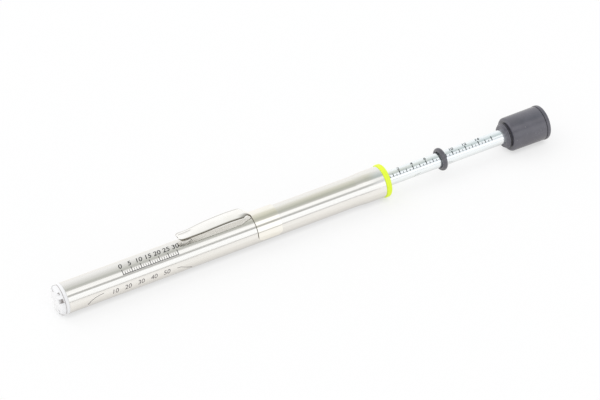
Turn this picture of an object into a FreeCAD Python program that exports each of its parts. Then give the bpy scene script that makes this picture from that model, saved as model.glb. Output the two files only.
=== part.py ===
import FreeCAD, Part
import math
import os
import Sketcher
from FreeCAD import Placement, Rotation, Vector

# Pencil-type belt tension tester, lying along +X with its pocket clip up.
# The origin is the centre of the flat face that is set on the belt. +X runs along the tool to the
# rubber tip that the hand pushes, and +Z is up. Millimetres and degrees.

SIZES = {
    # Belt end plug, moulded, closes the barrel
    "nose_dia": 12.3,
    "nose_length": 1.9,
    "nose_round": 1.7,
    "plug_flange": 1.4,
    "plug_spigot": 9.0,
    "plug_bore_dia": 4.2,
    "plug_bore_depth": 10.0,
    "plug_boss": 3.0,
    "boss_gap": 0.3,
    "rib_count": 6,
    "rib_width": 0.7,
    "rib_height": 0.15,
    "rib_gap": 0.02,
    "notch_count": 4,
    "notch_width": 1.8,
    "notch_length": 1.6,
    "notch_depth": 2.4,
    "notch_angle": 52.0,
    # Barrel, drawn tube with an expanded mouth
    "tube_dia": 12.7,
    "tube_wall": 0.7,
    "tube_length": 141.8,
    "mouth_dia": 13.35,
    "mouth_length": 6.3,
    "mouth_taper": 7.1,
    # Guide bushing in the mouth
    "flange_proud": 0.45,
    "flange_thick": 2.4,
    "flange_edge": 0.35,
    "bushing_depth": 19.0,
    "bushing_gap": 0.05,
    "bushing_lead": 0.25,
    # Plunger rod
    "rod_dia": 6.35,
    "rod_gap": 0.08,
    "rod_shown": 56.9,
    "rod_in_tip": 16.0,
    "rod_chamfer": 0.5,
    "rod_tail": 3.0,
    "spigot_dia": 5.0,
    # Piston on the rod's spigot, and the clip that holds it on
    "piston_length": 8.0,
    "piston_gap": 0.1,
    "piston_land": 1.8,
    "piston_waist": 0.8,
    "piston_seat": 1.4,
    "retainer_dia": 9.3,
    "retainer_thick": 0.7,
    "retainer_groove": 4.0,
    "retainer_slot": 3.4,
    "retainer_relief": 2.3,
    "retainer_relief_angle": 35.0,
    # Rubber bumper between piston and bushing
    "bumper_thick": 1.5,
    "bumper_gap": 0.85,
    # Washer that the spring pushes, and the spring
    "washer_thick": 1.0,
    "washer_gap": 0.2,
    "wire_dia": 1.15,
    "spring_gap": 0.38,
    "coil_count": 16,
    "end_pitch": 1.3,
    # Force marker, a rubber O-ring on the rod
    "marker_section": 1.75,
    "marker_gap": 0.03,
    "marker_place": 26.95,
    # Rubber tip
    "tip_length": 20.2,
    "lip_dia": 9.0,
    "lip_length": 1.2,
    "neck_dia": 11.8,
    "neck_length": 0.7,
    "groove_dia": 10.4,
    "groove_length": 1.1,
    "tip_dia": 14.7,
    "shoulder_edge": 0.7,
    "rim_dia": 15.2,
    "rim_width": 2.4,
    "rim_edge": 0.9,
    # Pocket clip, one pressed strip of spring steel
    "strip_thick": 0.5,
    "clip_gap": 0.02,
    "clip_angle": 12.0,
    "band_place": 82.5,
    "band_width": 10.7,
    "band_wrap": 228.0,
    "band_corner": 1.8,
    "blade_length": 31.7,
    "blade_width": 5.8,
    "blade_crown_height": 0.8,
    "blade_rise": 3.75,
    "peak_place": 10.2,
    "bend_place": 3.9,
    "bend_length": 4.7,
    "bend_thick": 0.7,
    "bend_root": 0.12,
    "neck_width": 2.6,
    "neck_crown_height": 0.15,
    "end_rise": 2.5,
    "end_length": 3.4,
    "end_width": 2.4,
    "end_crown_height": 0.2,
    "bead_place": 3.2,
    "bead_length": 5.2,
    "bead_width": 2.5,
    "foot_length": 2.6,
    "foot_width": 1.0,
    "channel_length": 4.4,
    "channel_width": 1.0,
    "channel_depth": 0.4,
    "channel_slope": 0.35,
}

doc = FreeCAD.newDocument("belt_tension_tester")
sheet = doc.addObject("Spreadsheet::Sheet", "Sizes")
for row, (alias, number) in enumerate(SIZES.items(), start=1):
    sheet.set("A%d" % row, alias)
    sheet.set("B%d" % row, str(number))
    sheet.setAlias("B%d" % row, alias)
doc.recompute()


class Size:
    """A size worked out from the sheet: its value, and the expression that ties it there."""

    def __init__(self, text, value):
        self.text = text
        self.value = value

    def join(self, other, sign, value):
        if not isinstance(other, Size):
            other = Size(repr(other), other)
        return Size("(%s %s %s)" % (self.text, sign, other.text), value(self.value, other.value))

    def __add__(self, other):
        return self.join(other, "+", lambda a, b: a + b)

    def __sub__(self, other):
        return self.join(other, "-", lambda a, b: a - b)

    def __mul__(self, other):
        return self.join(other, "*", lambda a, b: a * b)

    def __truediv__(self, other):
        return self.join(other, "/", lambda a, b: a / b)


def size(alias):
    return Size("Sizes." + alias, float(sheet.get(alias)))


def least(one, other):
    return Size("min(%s; %s)" % (one.text, other.text), min(one.value, other.value))


def cosine(angle):
    return Size("cos(%s * 1 deg)" % angle.text, math.cos(math.radians(angle.value)))


def sine(angle):
    return Size("sin(%s * 1 deg)" % angle.text, math.sin(math.radians(angle.value)))


def between(one, other, share):
    return one + (other - one) * share


ZERO = Size("0", 0.0)

# Radii that more than one piece uses
tube_radius = size("tube_dia") / 2
bore_radius = tube_radius - size("tube_wall")
mouth_radius = size("mouth_dia") / 2
mouth_bore_radius = mouth_radius - size("tube_wall")
rod_radius = size("rod_dia") / 2
spigot_radius = size("spigot_dia") / 2
coil_radius = bore_radius - size("spring_gap") - size("wire_dia") / 2
coil_inside = coil_radius - size("wire_dia") / 2

# Stations along the axis, from the belt face to the tip
tube_start = size("nose_length") + size("plug_flange")
spring_start = tube_start + size("plug_spigot")
tube_end = tube_start + size("tube_length")
mouth_start = tube_end - size("mouth_length")
taper_start = mouth_start - size("mouth_taper")
bushing_face = tube_end + size("flange_thick")
bushing_inner = tube_end - size("bushing_depth")
piston_front = bushing_inner - size("bumper_thick")
piston_back = piston_front - size("piston_length")
rod_shoulder = piston_front - size("piston_seat")
retainer_back = piston_back - size("retainer_thick")
washer_back = retainer_back - size("washer_thick")
tip_start = bushing_face + size("rod_shown")
rod_end = tip_start + size("rod_in_tip")
band_start = tube_start + size("band_place")


def plane(body, role):
    for feature in body.Origin.OriginFeatures:
        if feature.Role == role:
            return feature
    raise ValueError("no plane or axis called " + role)


def new_body(name):
    body = doc.addObject("PartDesign::Body", name)
    body.Label = name
    return body


def new_sketch(body, name, role, offset=ZERO):
    """Sketch on one of the body's own planes, moved along the plane's normal."""
    sketch = body.newObject("Sketcher::SketchObject", name)
    sketch.AttachmentSupport = [(plane(body, role), "")]
    sketch.MapMode = "FlatFace"
    sketch.AttachmentOffset = Placement(Vector(0, 0, offset.value), Rotation())
    sketch.setExpression("AttachmentOffset.Base.z", offset.text)
    return sketch


def dimension(sketch, kind, places, length):
    """Add a dimension to a sketch and tie it to the sheet."""
    index = sketch.addConstraint(Sketcher.Constraint(kind, *places, length.value))
    sketch.setExpression("Constraints[%d]" % index, length.text)


def place_corner(sketch, edge, end, corner):
    """Hold one end of an edge at a corner given from the sketch's origin."""
    across, up = corner
    dimension(sketch, "DistanceX", (-1, 1, edge, end), across)
    dimension(sketch, "DistanceY", (-1, 1, edge, end), up)


def point(corner):
    across, up = corner
    return Vector(across.value, up.value, 0)


def outline(sketch, corners):
    """Closed outline of straight lines through the corners."""
    count = len(corners)
    for i, corner in enumerate(corners):
        following = corners[(i + 1) % count]
        sketch.addGeometry(Part.LineSegment(point(corner), point(following)), False)
    for i, corner in enumerate(corners):
        sketch.addConstraint(Sketcher.Constraint("Coincident", i, 2, (i + 1) % count, 1))
        place_corner(sketch, i, 1, corner)


def bind(feature, **sizes):
    """Set properties of a feature and tie them to the sheet."""
    for name, length in sizes.items():
        setattr(feature, name, length.value)
        feature.setExpression(name, length.text)


def arc_corners(station, height, radius, start, end, sides):
    """Corners of an arc about (station, height) that is drawn with a few straight sides."""
    corners = []
    for i in range(sides + 1):
        angle = math.radians(start + (end - start) * i / sides)
        corners.append((station + radius * math.cos(angle), height + radius * math.sin(angle)))
    return corners


def turned(body, name, corners, angle=Size("360", 360.0)):
    """Turn a half section of (station, radius) corners about the tool's axis."""
    sketch = new_sketch(body, name + "_section", "XZ_Plane")
    outline(sketch, corners)
    feature = body.newObject("PartDesign::Revolution", name)
    feature.Profile = sketch
    feature.ReferenceAxis = (sketch, ["H_Axis"])
    feature.Midplane = True
    bind(feature, Angle=angle)
    doc.recompute()
    return feature


def around_axis(body, name, feature, count):
    """Repeat a feature evenly around the tool's axis."""
    pattern = body.newObject("PartDesign::PolarPattern", name)
    pattern.Originals = [feature]
    pattern.Axis = (plane(body, "X_Axis"), [""])
    pattern.Angle = 360
    bind(pattern, Occurrences=Size(count.text, int(count.value)))
    body.Tip = pattern
    doc.recompute()
    return pattern


def put(feature, place, rotation=Rotation()):
    """Place a primitive at three sizes and tie its place to the sheet."""
    feature.Placement = Placement(Vector(*(length.value for length in place)), rotation)
    for axis, length in zip("xyz", place):
        feature.setExpression("Placement.Base." + axis, length.text)


ALONG_X = Rotation(Vector(0, 1, 0), 90)


def cylinder(name, station, length, radius, across=ZERO, up=ZERO):
    feature = doc.addObject("Part::Cylinder", name)
    bind(feature, Radius=radius, Height=length)
    put(feature, (station, across, up), ALONG_X)
    return feature


def make_washer(name, station, length, outer_radius, inner_radius):
    feature = doc.addObject("Part::Cut", name)
    feature.Label = name
    feature.Base = cylinder(name + "_blank", station, length, outer_radius)
    feature.Tool = cylinder(name + "_bore", station, length, inner_radius)
    doc.recompute()
    return feature


def make_barrel_tube():
    """Drawn tube, plain along the grip and expanded at the mouth for the bushing."""
    body = new_body("barrel_tube")
    turned(body, "wall", [
        (tube_start, bore_radius),
        (tube_start, tube_radius),
        (taper_start, tube_radius),
        (mouth_start, mouth_radius),
        (tube_end, mouth_radius),
        (tube_end, mouth_bore_radius),
        (mouth_start, mouth_bore_radius),
        (taper_start, bore_radius),
    ])
    return body


# Straight sides that stand for the nose's rounding, and for the marker's round section
NOSE_SIDES = 3
MARKER_SIDES = 8


def make_belt_end_plug():
    """Moulded plug: rounded nose with notches, ribbed spigot, and a boss that centres the spring."""
    body = new_body("belt_end_plug")
    nose_radius = size("nose_dia") / 2
    spigot = bore_radius - size("rib_height")
    boss_radius = coil_inside - size("boss_gap")
    boss_end = spring_start + size("plug_boss")
    hole_radius = size("plug_bore_dia") / 2
    hole_end = boss_end - size("plug_bore_depth")
    nose_round = least(size("nose_round"), size("nose_length") * 0.9)
    turned(body, "moulding", [
        (ZERO, ZERO),
        *arc_corners(nose_round, nose_radius - nose_round, nose_round, 180, 90, NOSE_SIDES),
        (size("nose_length"), nose_radius),
        (size("nose_length"), tube_radius),
        (tube_start, tube_radius),
        (tube_start, spigot),
        (spring_start, spigot),
        (spring_start, boss_radius),
        (boss_end, boss_radius),
        (boss_end, hole_radius),
        (hole_end, hole_radius),
        (hole_end, ZERO),
    ])
    sketch = new_sketch(body, "notch_outline", "YZ_Plane")
    sketch.AttachmentOffset = Placement(Vector(), Rotation(Vector(0, 0, 1), size("notch_angle").value))
    sketch.setExpression("AttachmentOffset.Rotation.Angle", size("notch_angle").text)
    half = size("notch_width") / 2
    floor = nose_radius - size("notch_depth")
    outline(sketch, [(ZERO - half, floor), (half, floor), (half, tube_radius), (ZERO - half, tube_radius)])
    notch = body.newObject("PartDesign::Pocket", "notch")
    notch.Profile = sketch
    notch.Reversed = True
    bind(notch, Length=size("notch_length"))
    doc.recompute()
    around_axis(body, "notches", notch, size("notch_count"))
    sketch = new_sketch(body, "rib_outline", "YZ_Plane", tube_start)
    half = size("rib_width") / 2
    root = spigot - size("rib_height")
    crest = bore_radius - size("rib_gap")
    outline(sketch, [(ZERO - half, root), (half, root), (half, crest), (ZERO - half, crest)])
    rib = body.newObject("PartDesign::Pad", "rib")
    rib.Profile = sketch
    bind(rib, Length=size("plug_spigot"))
    doc.recompute()
    around_axis(body, "ribs", rib, size("rib_count"))
    return body


def make_mouth_bushing():
    """Bright bushing that guides the rod. Its flange is the edge that the force scale is read at."""
    body = new_body("mouth_bushing")
    hole = rod_radius + size("rod_gap")
    lead = size("bushing_lead")
    flange_radius = mouth_radius + size("flange_proud")
    edge = least(size("flange_edge"), size("flange_thick") * 0.4)
    seat = mouth_bore_radius - size("bushing_gap")
    # It is pushed in through the mouth, so its spigot clears the bore and is a gap smaller than its seat
    spigot = least(bore_radius, seat) - size("bushing_gap")
    turned(body, "turned_form", [
        (bushing_inner, hole),
        (bushing_inner, spigot),
        (mouth_start, spigot),
        (mouth_start, seat),
        (tube_end, seat),
        (tube_end, flange_radius - edge),
        (tube_end + edge, flange_radius),
        (bushing_face - edge, flange_radius),
        (bushing_face, flange_radius - edge),
        (bushing_face, hole + lead),
        (bushing_face - lead, hole),
    ])
    return body


def make_plunger_rod():
    """Plated rod: a spigot and groove for the piston, and a plain length that ends in the tip."""
    body = new_body("plunger_rod")
    chamfer = size("rod_chamfer")
    groove_radius = size("retainer_groove") / 2
    tail = washer_back - size("rod_tail")
    turned(body, "turned_form", [
        (tail, ZERO),
        (tail, spigot_radius - chamfer),
        (tail + chamfer, spigot_radius),
        (retainer_back, spigot_radius),
        (retainer_back, groove_radius),
        (piston_back, groove_radius),
        (piston_back, spigot_radius),
        (rod_shoulder, spigot_radius),
        (rod_shoulder, rod_radius),
        (rod_end, rod_radius),
        (rod_end, ZERO),
    ])
    return body


def make_guide_piston():
    """Plastic piston with two lands and a waist, which keeps the rod's inner end central."""
    body = new_body("guide_piston")
    land_radius = bore_radius - size("piston_gap")
    waist = size("piston_waist")
    land = size("piston_land")
    turned(body, "turned_form", [
        (piston_back, spigot_radius),
        (piston_back, land_radius),
        (piston_back + land, land_radius),
        (piston_back + land, land_radius - waist),
        (piston_front - land, land_radius - waist),
        (piston_front - land, land_radius),
        (piston_front, land_radius),
        (piston_front, rod_radius),
        (rod_shoulder, rod_radius),
        (rod_shoulder, spigot_radius),
    ])
    return body


def make_retaining_clip():
    """E-shaped clip in the rod's groove, with its open side down."""
    thick = size("retainer_thick")
    radius = size("retainer_dia") / 2
    groove_radius = size("retainer_groove") / 2
    slot = doc.addObject("Part::Box", "retainer_slot")
    bind(slot, Length=thick, Width=size("retainer_slot"), Height=radius)
    put(slot, (retainer_back, ZERO - size("retainer_slot") / 2, ZERO - radius))
    angle = size("retainer_relief_angle")
    relief = size("retainer_relief") / 2
    across = (groove_radius + relief / 2) * cosine(angle)
    up = (groove_radius + relief / 2) * sine(angle)
    tools = doc.addObject("Part::MultiFuse", "retainer_openings")
    tools.Shapes = [
        cylinder("retainer_hole", retainer_back, thick, groove_radius),
        slot,
        cylinder("retainer_relief_left", retainer_back, thick, relief, ZERO - across, up),
        cylinder("retainer_relief_right", retainer_back, thick, relief, across, up),
    ]
    clip = doc.addObject("Part::Cut", "retaining_clip")
    clip.Label = "retaining_clip"
    clip.Base = cylinder("retainer_blank", retainer_back, thick, radius)
    clip.Tool = tools
    doc.recompute()
    return clip


STEPS_PER_TURN = 10
WIRE_SIDES = 5


def coil_station(turn, turns, length, end_pitch):
    """Station of the wire after some turns: one close turn at each end, and even turns between."""
    pitch = (length - 2 * end_pitch) / (turns - 2)
    close_turns = min(turn, 1) + max(turn - turns + 1, 0)
    return end_pitch * close_turns + pitch * (turn - close_turns)


def make_compression_spring():
    """Compression spring with closed and ground ends. Its wire is faceted, as the barrel hides it."""
    length = washer_back - spring_start
    turns = int(size("coil_count").value)
    steps = turns * STEPS_PER_TURN
    points = []
    for step in range(steps + 1):
        turn = step / STEPS_PER_TURN
        angle = 2 * math.pi * turn
        station = coil_station(turn, turns, length.value, size("end_pitch").value)
        across = coil_radius.value * math.sin(angle)
        up = coil_radius.value * math.cos(angle)
        points.append(Vector(station, across, up))
    path = doc.addObject("Part::Polygon", "spring_path")
    path.Nodes = points
    wire = doc.addObject("Part::RegularPolygon", "spring_wire")
    wire.Polygon = WIRE_SIDES
    bind(wire, Circumradius=size("wire_dia") / 2)
    wire.Placement = Placement(points[0], Rotation(Vector(0, 0, 1), points[1] - points[0]))
    coil = doc.addObject("Part::Sweep", "spring_coil")
    coil.Sections = [wire]
    coil.Spine = (path, ["Edge%d" % (i + 1) for i in range(steps)])
    coil.Solid = True
    coil.Transition = "Right corner"
    put(coil, (spring_start, ZERO, ZERO))
    spring = doc.addObject("Part::Common", "compression_spring")
    spring.Label = "compression_spring"
    spring.Base = coil
    spring.Tool = cylinder("spring_room", spring_start, length, bore_radius)
    doc.recompute()
    return spring


def make_force_marker():
    """Small rubber O-ring that the mouth of the barrel pushes along the rod."""
    body = new_body("force_marker_ring")
    section = size("marker_section") / 2
    station = bushing_face + size("marker_place")
    centre_radius = rod_radius + size("marker_gap") + section
    side = 360 / MARKER_SIDES
    corners = arc_corners(station, centre_radius, section, side / 2, 360 - side / 2, MARKER_SIDES - 1)
    turned(body, "ring", corners)
    return body


def make_rubber_tip():
    """Moulded push tip: lipped neck, groove, straight body and a proud rim."""
    body = new_body("rubber_tip")
    tip_end = tip_start + size("tip_length")
    lip_radius = size("lip_dia") / 2
    lip_end = tip_start + size("lip_length")
    neck_radius = size("neck_dia") / 2
    neck_end = lip_end + size("neck_length")
    groove_radius = size("groove_dia") / 2
    shoulder = neck_end + size("groove_length")
    tip_radius = size("tip_dia") / 2
    shoulder_edge = least(size("shoulder_edge"), tip_radius - groove_radius)
    rim_radius = size("rim_dia") / 2
    rim_start = tip_end - size("rim_width")
    rim_edge = least(size("rim_edge"), size("rim_width") * 0.4)
    turned(body, "moulding", [
        (tip_start, rod_radius),
        (tip_start, lip_radius),
        (lip_end, lip_radius),
        (lip_end, neck_radius),
        (neck_end, neck_radius),
        (neck_end, groove_radius),
        (shoulder, groove_radius),
        (shoulder, tip_radius - shoulder_edge),
        (shoulder + shoulder_edge, tip_radius),
        (rim_start, tip_radius),
        (rim_start, rim_radius),
        (tip_end - rim_edge, rim_radius),
        (tip_end, rim_radius - rim_edge),
        (tip_end, ZERO),
        (rod_end, ZERO),
        (rod_end, rod_radius),
    ])
    return body


def crescent(body, name, station, top, width, crown, thick):
    """Cross-section of the crowned strip: two like arcs, one strip thickness apart, and two edges."""
    sketch = new_sketch(body, name, "YZ_Plane", station)
    half = width / 2
    edge = top - crown
    right_top = (half, edge)
    left_top = (ZERO - half, edge)
    right_under = (half, edge - thick)
    left_under = (ZERO - half, edge - thick)
    radius = (half * half + crown * crown) / (crown * 2)
    sketch.addGeometry(Part.Arc(point(right_top), point((ZERO, top)), point(left_top)), False)
    sketch.addGeometry(Part.LineSegment(point(left_top), point(left_under)), False)
    sketch.addGeometry(Part.Arc(point(right_under), point((ZERO, top - thick)), point(left_under)), False)
    sketch.addGeometry(Part.LineSegment(point(right_under), point(right_top)), False)
    for places in ((0, 2, 1, 1), (1, 2, 2, 2), (2, 1, 3, 1), (3, 2, 0, 1)):
        sketch.addConstraint(Sketcher.Constraint("Coincident", *places))
    place_corner(sketch, 1, 1, left_top)
    place_corner(sketch, 1, 2, left_under)
    place_corner(sketch, 3, 1, right_under)
    place_corner(sketch, 3, 2, right_top)
    dimension(sketch, "Radius", (0,), radius)
    dimension(sketch, "Radius", (2,), radius)
    return sketch


# Corners of the bead's oval, as shares of its length and width
OVAL_CORNERS = (
    (0.5, 0.2), (0.3, 0.5), (-0.3, 0.5), (-0.5, 0.2),
    (-0.5, -0.2), (-0.3, -0.5), (0.3, -0.5), (0.5, -0.2),
)
# Shares of the blade's length from its end to its highest point, where a section is drawn
BLADE_SHARES = (0.38, 0.65, 1.0)
# Shares of the rounded end, from the blade's end to its full width
END_SHARES = (0.0, 0.15, 0.5, 1.0)
# The bend down to the band: share of its length, share of the drop, share of the narrowing
BEND_SHARES = ((0.0, 0.08, 0.0), (0.2, 0.16, 0.42), (0.5, 0.44, 0.85), (0.8, 0.82, 1.0))


def make_blade(body, band_outside):
    """Blade that stands over the tube: it rises from its rounded end, then bends down to the band."""
    end = band_start - size("blade_length")
    peak = band_start - size("peak_place")
    end_top = tube_radius + size("end_rise")
    peak_top = tube_radius + size("blade_rise")
    thick = size("strip_thick")
    sections = []
    for share in END_SHARES:
        along = (size("end_length") * share) / (peak - end)
        rise = along.value ** 2 * (3 - 2 * along.value)
        swell = math.sqrt(1 - (1 - share) ** 2)
        width = between(size("end_width"), size("blade_width"), swell)
        crown = between(size("end_crown_height"), size("blade_crown_height"), swell)
        top = between(end_top, peak_top, rise)
        sections.append((end + size("end_length") * share, top, width, crown, thick))
    for share in BLADE_SHARES:
        rise = share ** 2 * (3 - 2 * share)
        top = between(end_top, peak_top, rise)
        sections.append((between(end, peak, share), top, size("blade_width"), size("blade_crown_height"), thick))
    bend_start = band_start - size("bend_place")
    for share, drop, narrowing in BEND_SHARES:
        station = bend_start + size("bend_length") * share
        top = between(peak_top, band_outside, drop)
        width = between(size("blade_width"), size("neck_width"), narrowing)
        crown = between(size("blade_crown_height"), size("neck_crown_height"), narrowing)
        sections.append((station, top, width, crown, between(thick, size("bend_thick"), narrowing)))
    root = size("bend_root")
    root_top = band_outside - root
    sections.append((bend_start + size("bend_length"), root_top, size("neck_width"), size("neck_crown_height"),
                     thick - root * 2))
    sketches = []
    for i, section in enumerate(sections, start=1):
        sketches.append(crescent(body, "blade_section_%d" % i, *section))
    blade = body.newObject("PartDesign::AdditiveLoft", "blade")
    blade.Profile = sketches[0]
    blade.Sections = sketches[1:]
    blade.Ruled = True
    doc.recompute()
    return end, end_top


def add_oval_form(body, kind, name, station, levels):
    """Loft through long eight-cornered ovals, each given as its height, length and width."""
    sketches = []
    for i, (height, length, width) in enumerate(levels, start=1):
        sketch = new_sketch(body, "%s_outline_%d" % (name, i), "XY_Plane", height)
        corners = []
        for along, across in OVAL_CORNERS:
            corners.append((station + length * along, width * across))
        outline(sketch, corners)
        sketches.append(sketch)
    form = body.newObject(kind, name)
    form.Profile = sketches[0]
    form.Sections = sketches[1:]
    form.Ruled = True
    doc.recompute()


def add_bead(body, end, end_top):
    """Pressed bead under the blade's end, which rests on the tube, and its channel on top."""
    inside = tube_radius + size("clip_gap")
    station = end + size("bead_place")
    bead_top = end_top - size("strip_thick") / 2
    add_oval_form(body, "PartDesign::AdditiveLoft", "bead", station, [
        (inside, size("foot_length"), size("foot_width")),
        (bead_top, size("bead_length"), size("bead_width")),
    ])
    floor = end_top - size("channel_depth")
    slope = size("channel_slope")
    mouth = end_top + size("channel_depth") * 2
    add_oval_form(body, "PartDesign::SubtractiveLoft", "channel", station, [
        (floor, size("channel_length") - slope * 2, size("channel_width") - slope * 2),
        (mouth, size("channel_length") + slope * 4, size("channel_width") + slope * 4),
    ])


def make_pocket_clip():
    """Pressed spring clip: a band round the tube, a necked bend, and a crowned blade with a bead."""
    body = new_body("pocket_clip")
    body.Placement = Placement(Vector(), Rotation(Vector(-1, 0, 0), size("clip_angle").value))
    body.setExpression("Placement.Rotation.Angle", size("clip_angle").text)
    inside = tube_radius + size("clip_gap")
    outside = inside + size("strip_thick")
    band_end = band_start + size("band_width")
    corners = [(band_start, inside), (band_start, outside), (band_end, outside), (band_end, inside)]
    band = turned(body, "band", corners, size("band_wrap"))
    ends = []
    for i, edge in enumerate(band.Shape.Edges, start=1):
        if isinstance(edge.Curve, Part.Line) and abs(edge.Length - size("strip_thick").value) < 1e-4:
            ends.append("Edge%d" % i)
    rounding = body.newObject("PartDesign::Fillet", "band_corners")
    rounding.Base = (band, ends)
    bind(rounding, Radius=size("band_corner"))
    doc.recompute()
    add_bead(body, *make_blade(body, outside))
    return body


PIECES = [
    make_belt_end_plug(),
    make_barrel_tube(),
    make_pocket_clip(),
    make_mouth_bushing(),
    make_compression_spring(),
    make_washer("spring_washer", washer_back, size("washer_thick"), bore_radius - size("washer_gap"),
                spigot_radius + size("washer_gap")),
    make_plunger_rod(),
    make_retaining_clip(),
    make_guide_piston(),
    make_washer("return_bumper", piston_front, size("bumper_thick"), bore_radius - size("bumper_gap"),
                rod_radius),
    make_force_marker(),
    make_rubber_tip(),
]

doc.recompute()
for item in doc.Objects:
    if "Invalid" in item.State or "Error" in item.State:
        raise RuntimeError("%s failed: %s" % (item.Name, item.State))
for piece in PIECES:
    if piece.Shape.isNull() or not piece.Shape.isValid() or len(piece.Shape.Solids) != 1:
        raise RuntimeError("%s is not one valid solid" % piece.Label)

os.makedirs("parts", exist_ok=True)
for piece in PIECES:
    piece.Shape.exportStep("parts/%s.step" % piece.Label)
    box = piece.Shape.BoundBox
    print("%-20s x %7.2f to %7.2f  volume %9.2f" % (piece.Label, box.XMin, box.XMax, piece.Shape.Volume))
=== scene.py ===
import math

import bmesh
import bpy
from mathutils import Matrix, Vector


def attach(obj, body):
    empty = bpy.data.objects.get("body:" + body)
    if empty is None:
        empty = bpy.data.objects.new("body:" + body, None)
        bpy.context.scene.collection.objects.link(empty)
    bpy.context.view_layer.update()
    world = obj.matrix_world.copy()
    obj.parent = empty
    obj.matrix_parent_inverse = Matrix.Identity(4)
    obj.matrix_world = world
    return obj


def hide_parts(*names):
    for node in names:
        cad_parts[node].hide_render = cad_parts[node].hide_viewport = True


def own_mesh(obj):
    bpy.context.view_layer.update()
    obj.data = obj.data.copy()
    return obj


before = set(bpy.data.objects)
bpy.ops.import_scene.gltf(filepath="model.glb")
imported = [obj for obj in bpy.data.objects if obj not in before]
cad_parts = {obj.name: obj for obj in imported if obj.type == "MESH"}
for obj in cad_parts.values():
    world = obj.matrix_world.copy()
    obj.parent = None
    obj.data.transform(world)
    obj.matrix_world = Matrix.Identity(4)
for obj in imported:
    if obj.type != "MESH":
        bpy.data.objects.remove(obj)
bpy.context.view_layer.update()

MM = 0.001


# Sizes in millimetres: stations along the tool from its belt end, and radii about its axis

TUBE_START = 3.3
TUBE_END = 145.1
TUBE_RADIUS = 6.35
TUBE_WALL = 0.7
MOUTH_RADIUS = 6.675
SKIN_FLARE = (132.6, 137.0)
SKIN_FLARE_ROUNDS = (6.0, 9.0)
BORE_FLARE = (131.7, 138.8)
TUBE_EDGE = 0.22

BUSHING_START = 126.1
BUSHING_RADIUS = 5.6
BUSHING_SEAT_RADIUS = 5.92
BUSHING_END = 147.5
BUSHING_BORE_RADIUS = 3.26
BUSHING_LEAD = (147.25, 3.51)
FLANGE_RADIUS = 7.125

NOSE_RADIUS = 6.15
NOSE_ROUND = 1.7
NOSE_GROOVE = (1.8, 2.0)
NOSE_GROOVE_RADIUS = 5.95
PLUG_SPIGOT_RADIUS = 5.5
SPRING_SEAT = 12.3
BOSS_RADIUS = 3.82
BOSS_END = 15.3
PLUG_BORE_RADIUS = 2.1
PLUG_BORE_START = 5.3

ROD_START = 111.9
ROD_END = 220.4
ROD_RADIUS = 3.175
ROD_SPIGOT_RADIUS = 2.5
ROD_SPIGOT_END = 123.2
ROD_GROOVE = (115.9, 116.6)
ROD_GROOVE_RADIUS = 2.0

TIP_START = 204.4
TIP_END = 224.6
LIP_RADII = (4.8, 5.0)
NECK_START = 205.25
NECK_END = 205.8
NECK_RADII = (5.45, 5.5)
NECK_GROOVE_RADIUS = 5.0
SHOULDER = 206.65
GRIP_RADII = (7.3, 7.42)
RIM_START = 222.85
RIM_GROOVE_RADIUS = 7.25
RIM_RADIUS = 7.598

SPRING_LENGTH = 102.6


# Meshes

SEGMENTS = 160
FILLET_STEP = 14
SMOOTH_ANGLE = 35


def add_mesh(name, vertices, faces, material, body, replaces=(), sharp=SMOOTH_ANGLE):
    """Make a mesh from points in millimetres, set it on a body and hide the CAD parts that it stands in for.
    """
    mesh = bpy.data.meshes.new(name)
    mesh.from_pydata([Vector(v) * MM for v in vertices], [], faces)
    bm = bmesh.new()
    bm.from_mesh(mesh)
    bmesh.ops.remove_doubles(bm, verts=bm.verts, dist=1e-7)
    bmesh.ops.recalc_face_normals(bm, faces=bm.faces)
    bm.to_mesh(mesh)
    bm.free()
    mesh.shade_smooth()
    mesh.set_sharp_from_angle(angle=math.radians(sharp))
    mesh.materials.append(material)
    piece = bpy.data.objects.new(name, mesh)
    bpy.context.scene.collection.objects.link(piece)
    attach(piece, body)
    if replaces:
        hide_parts(*replaces)
    return piece


def rounded(corners):
    """Outline points from (station, radius, fillet) corners, in order along the outline."""
    points = []
    count = len(corners)
    for i, (x, r, fillet) in enumerate(corners):
        if not fillet:
            points.append((x, r))
            continue
        here = Vector((x, r))
        back = Vector(corners[i - 1][:2]) - here
        ahead = Vector(corners[(i + 1) % count][:2]) - here
        half = back.angle(ahead) / 2
        # A fillet takes no more than about half of each side
        cut = min(fillet / math.tan(half), back.length * 0.48, ahead.length * 0.48)
        back.normalize()
        ahead.normalize()
        radius = cut * math.tan(half)
        centre = here + (back + ahead).normalized() * (radius / math.sin(half))
        first = here + back * cut - centre
        last = here + ahead * cut - centre
        start = math.atan2(first.y, first.x)
        turn = math.atan2(last.y, last.x) - start
        turn = (turn + math.pi) % (2 * math.pi) - math.pi
        steps = max(3, int(abs(turn) / math.radians(FILLET_STEP)))
        for k in range(steps + 1):
            angle = start + turn * k / steps
            points.append((centre.x + radius * math.cos(angle), centre.y + radius * math.sin(angle)))
    return points


def lathe(corners, closed):
    """Vertices and faces of an outline turned about the tool's axis."""
    vertices = []
    rings = []
    for x, r in rounded(corners):
        ring = []
        if r < 1e-6:
            ring = [len(vertices)] * SEGMENTS
            vertices.append((x, 0, 0))
        else:
            for k in range(SEGMENTS):
                angle = 2 * math.pi * k / SEGMENTS
                ring.append(len(vertices))
                vertices.append((x, r * math.sin(angle), r * math.cos(angle)))
        rings.append(ring)
    faces = []
    pairs = list(zip(rings, rings[1:]))
    if closed:
        pairs.append((rings[-1], rings[0]))
    for one, two in pairs:
        for k in range(SEGMENTS):
            j = (k + 1) % SEGMENTS
            corner = []
            for v in (one[k], one[j], two[j], two[k]):
                if v not in corner:
                    corner.append(v)
            if len(corner) > 2:
                faces.append(corner)
    return vertices, faces


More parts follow.
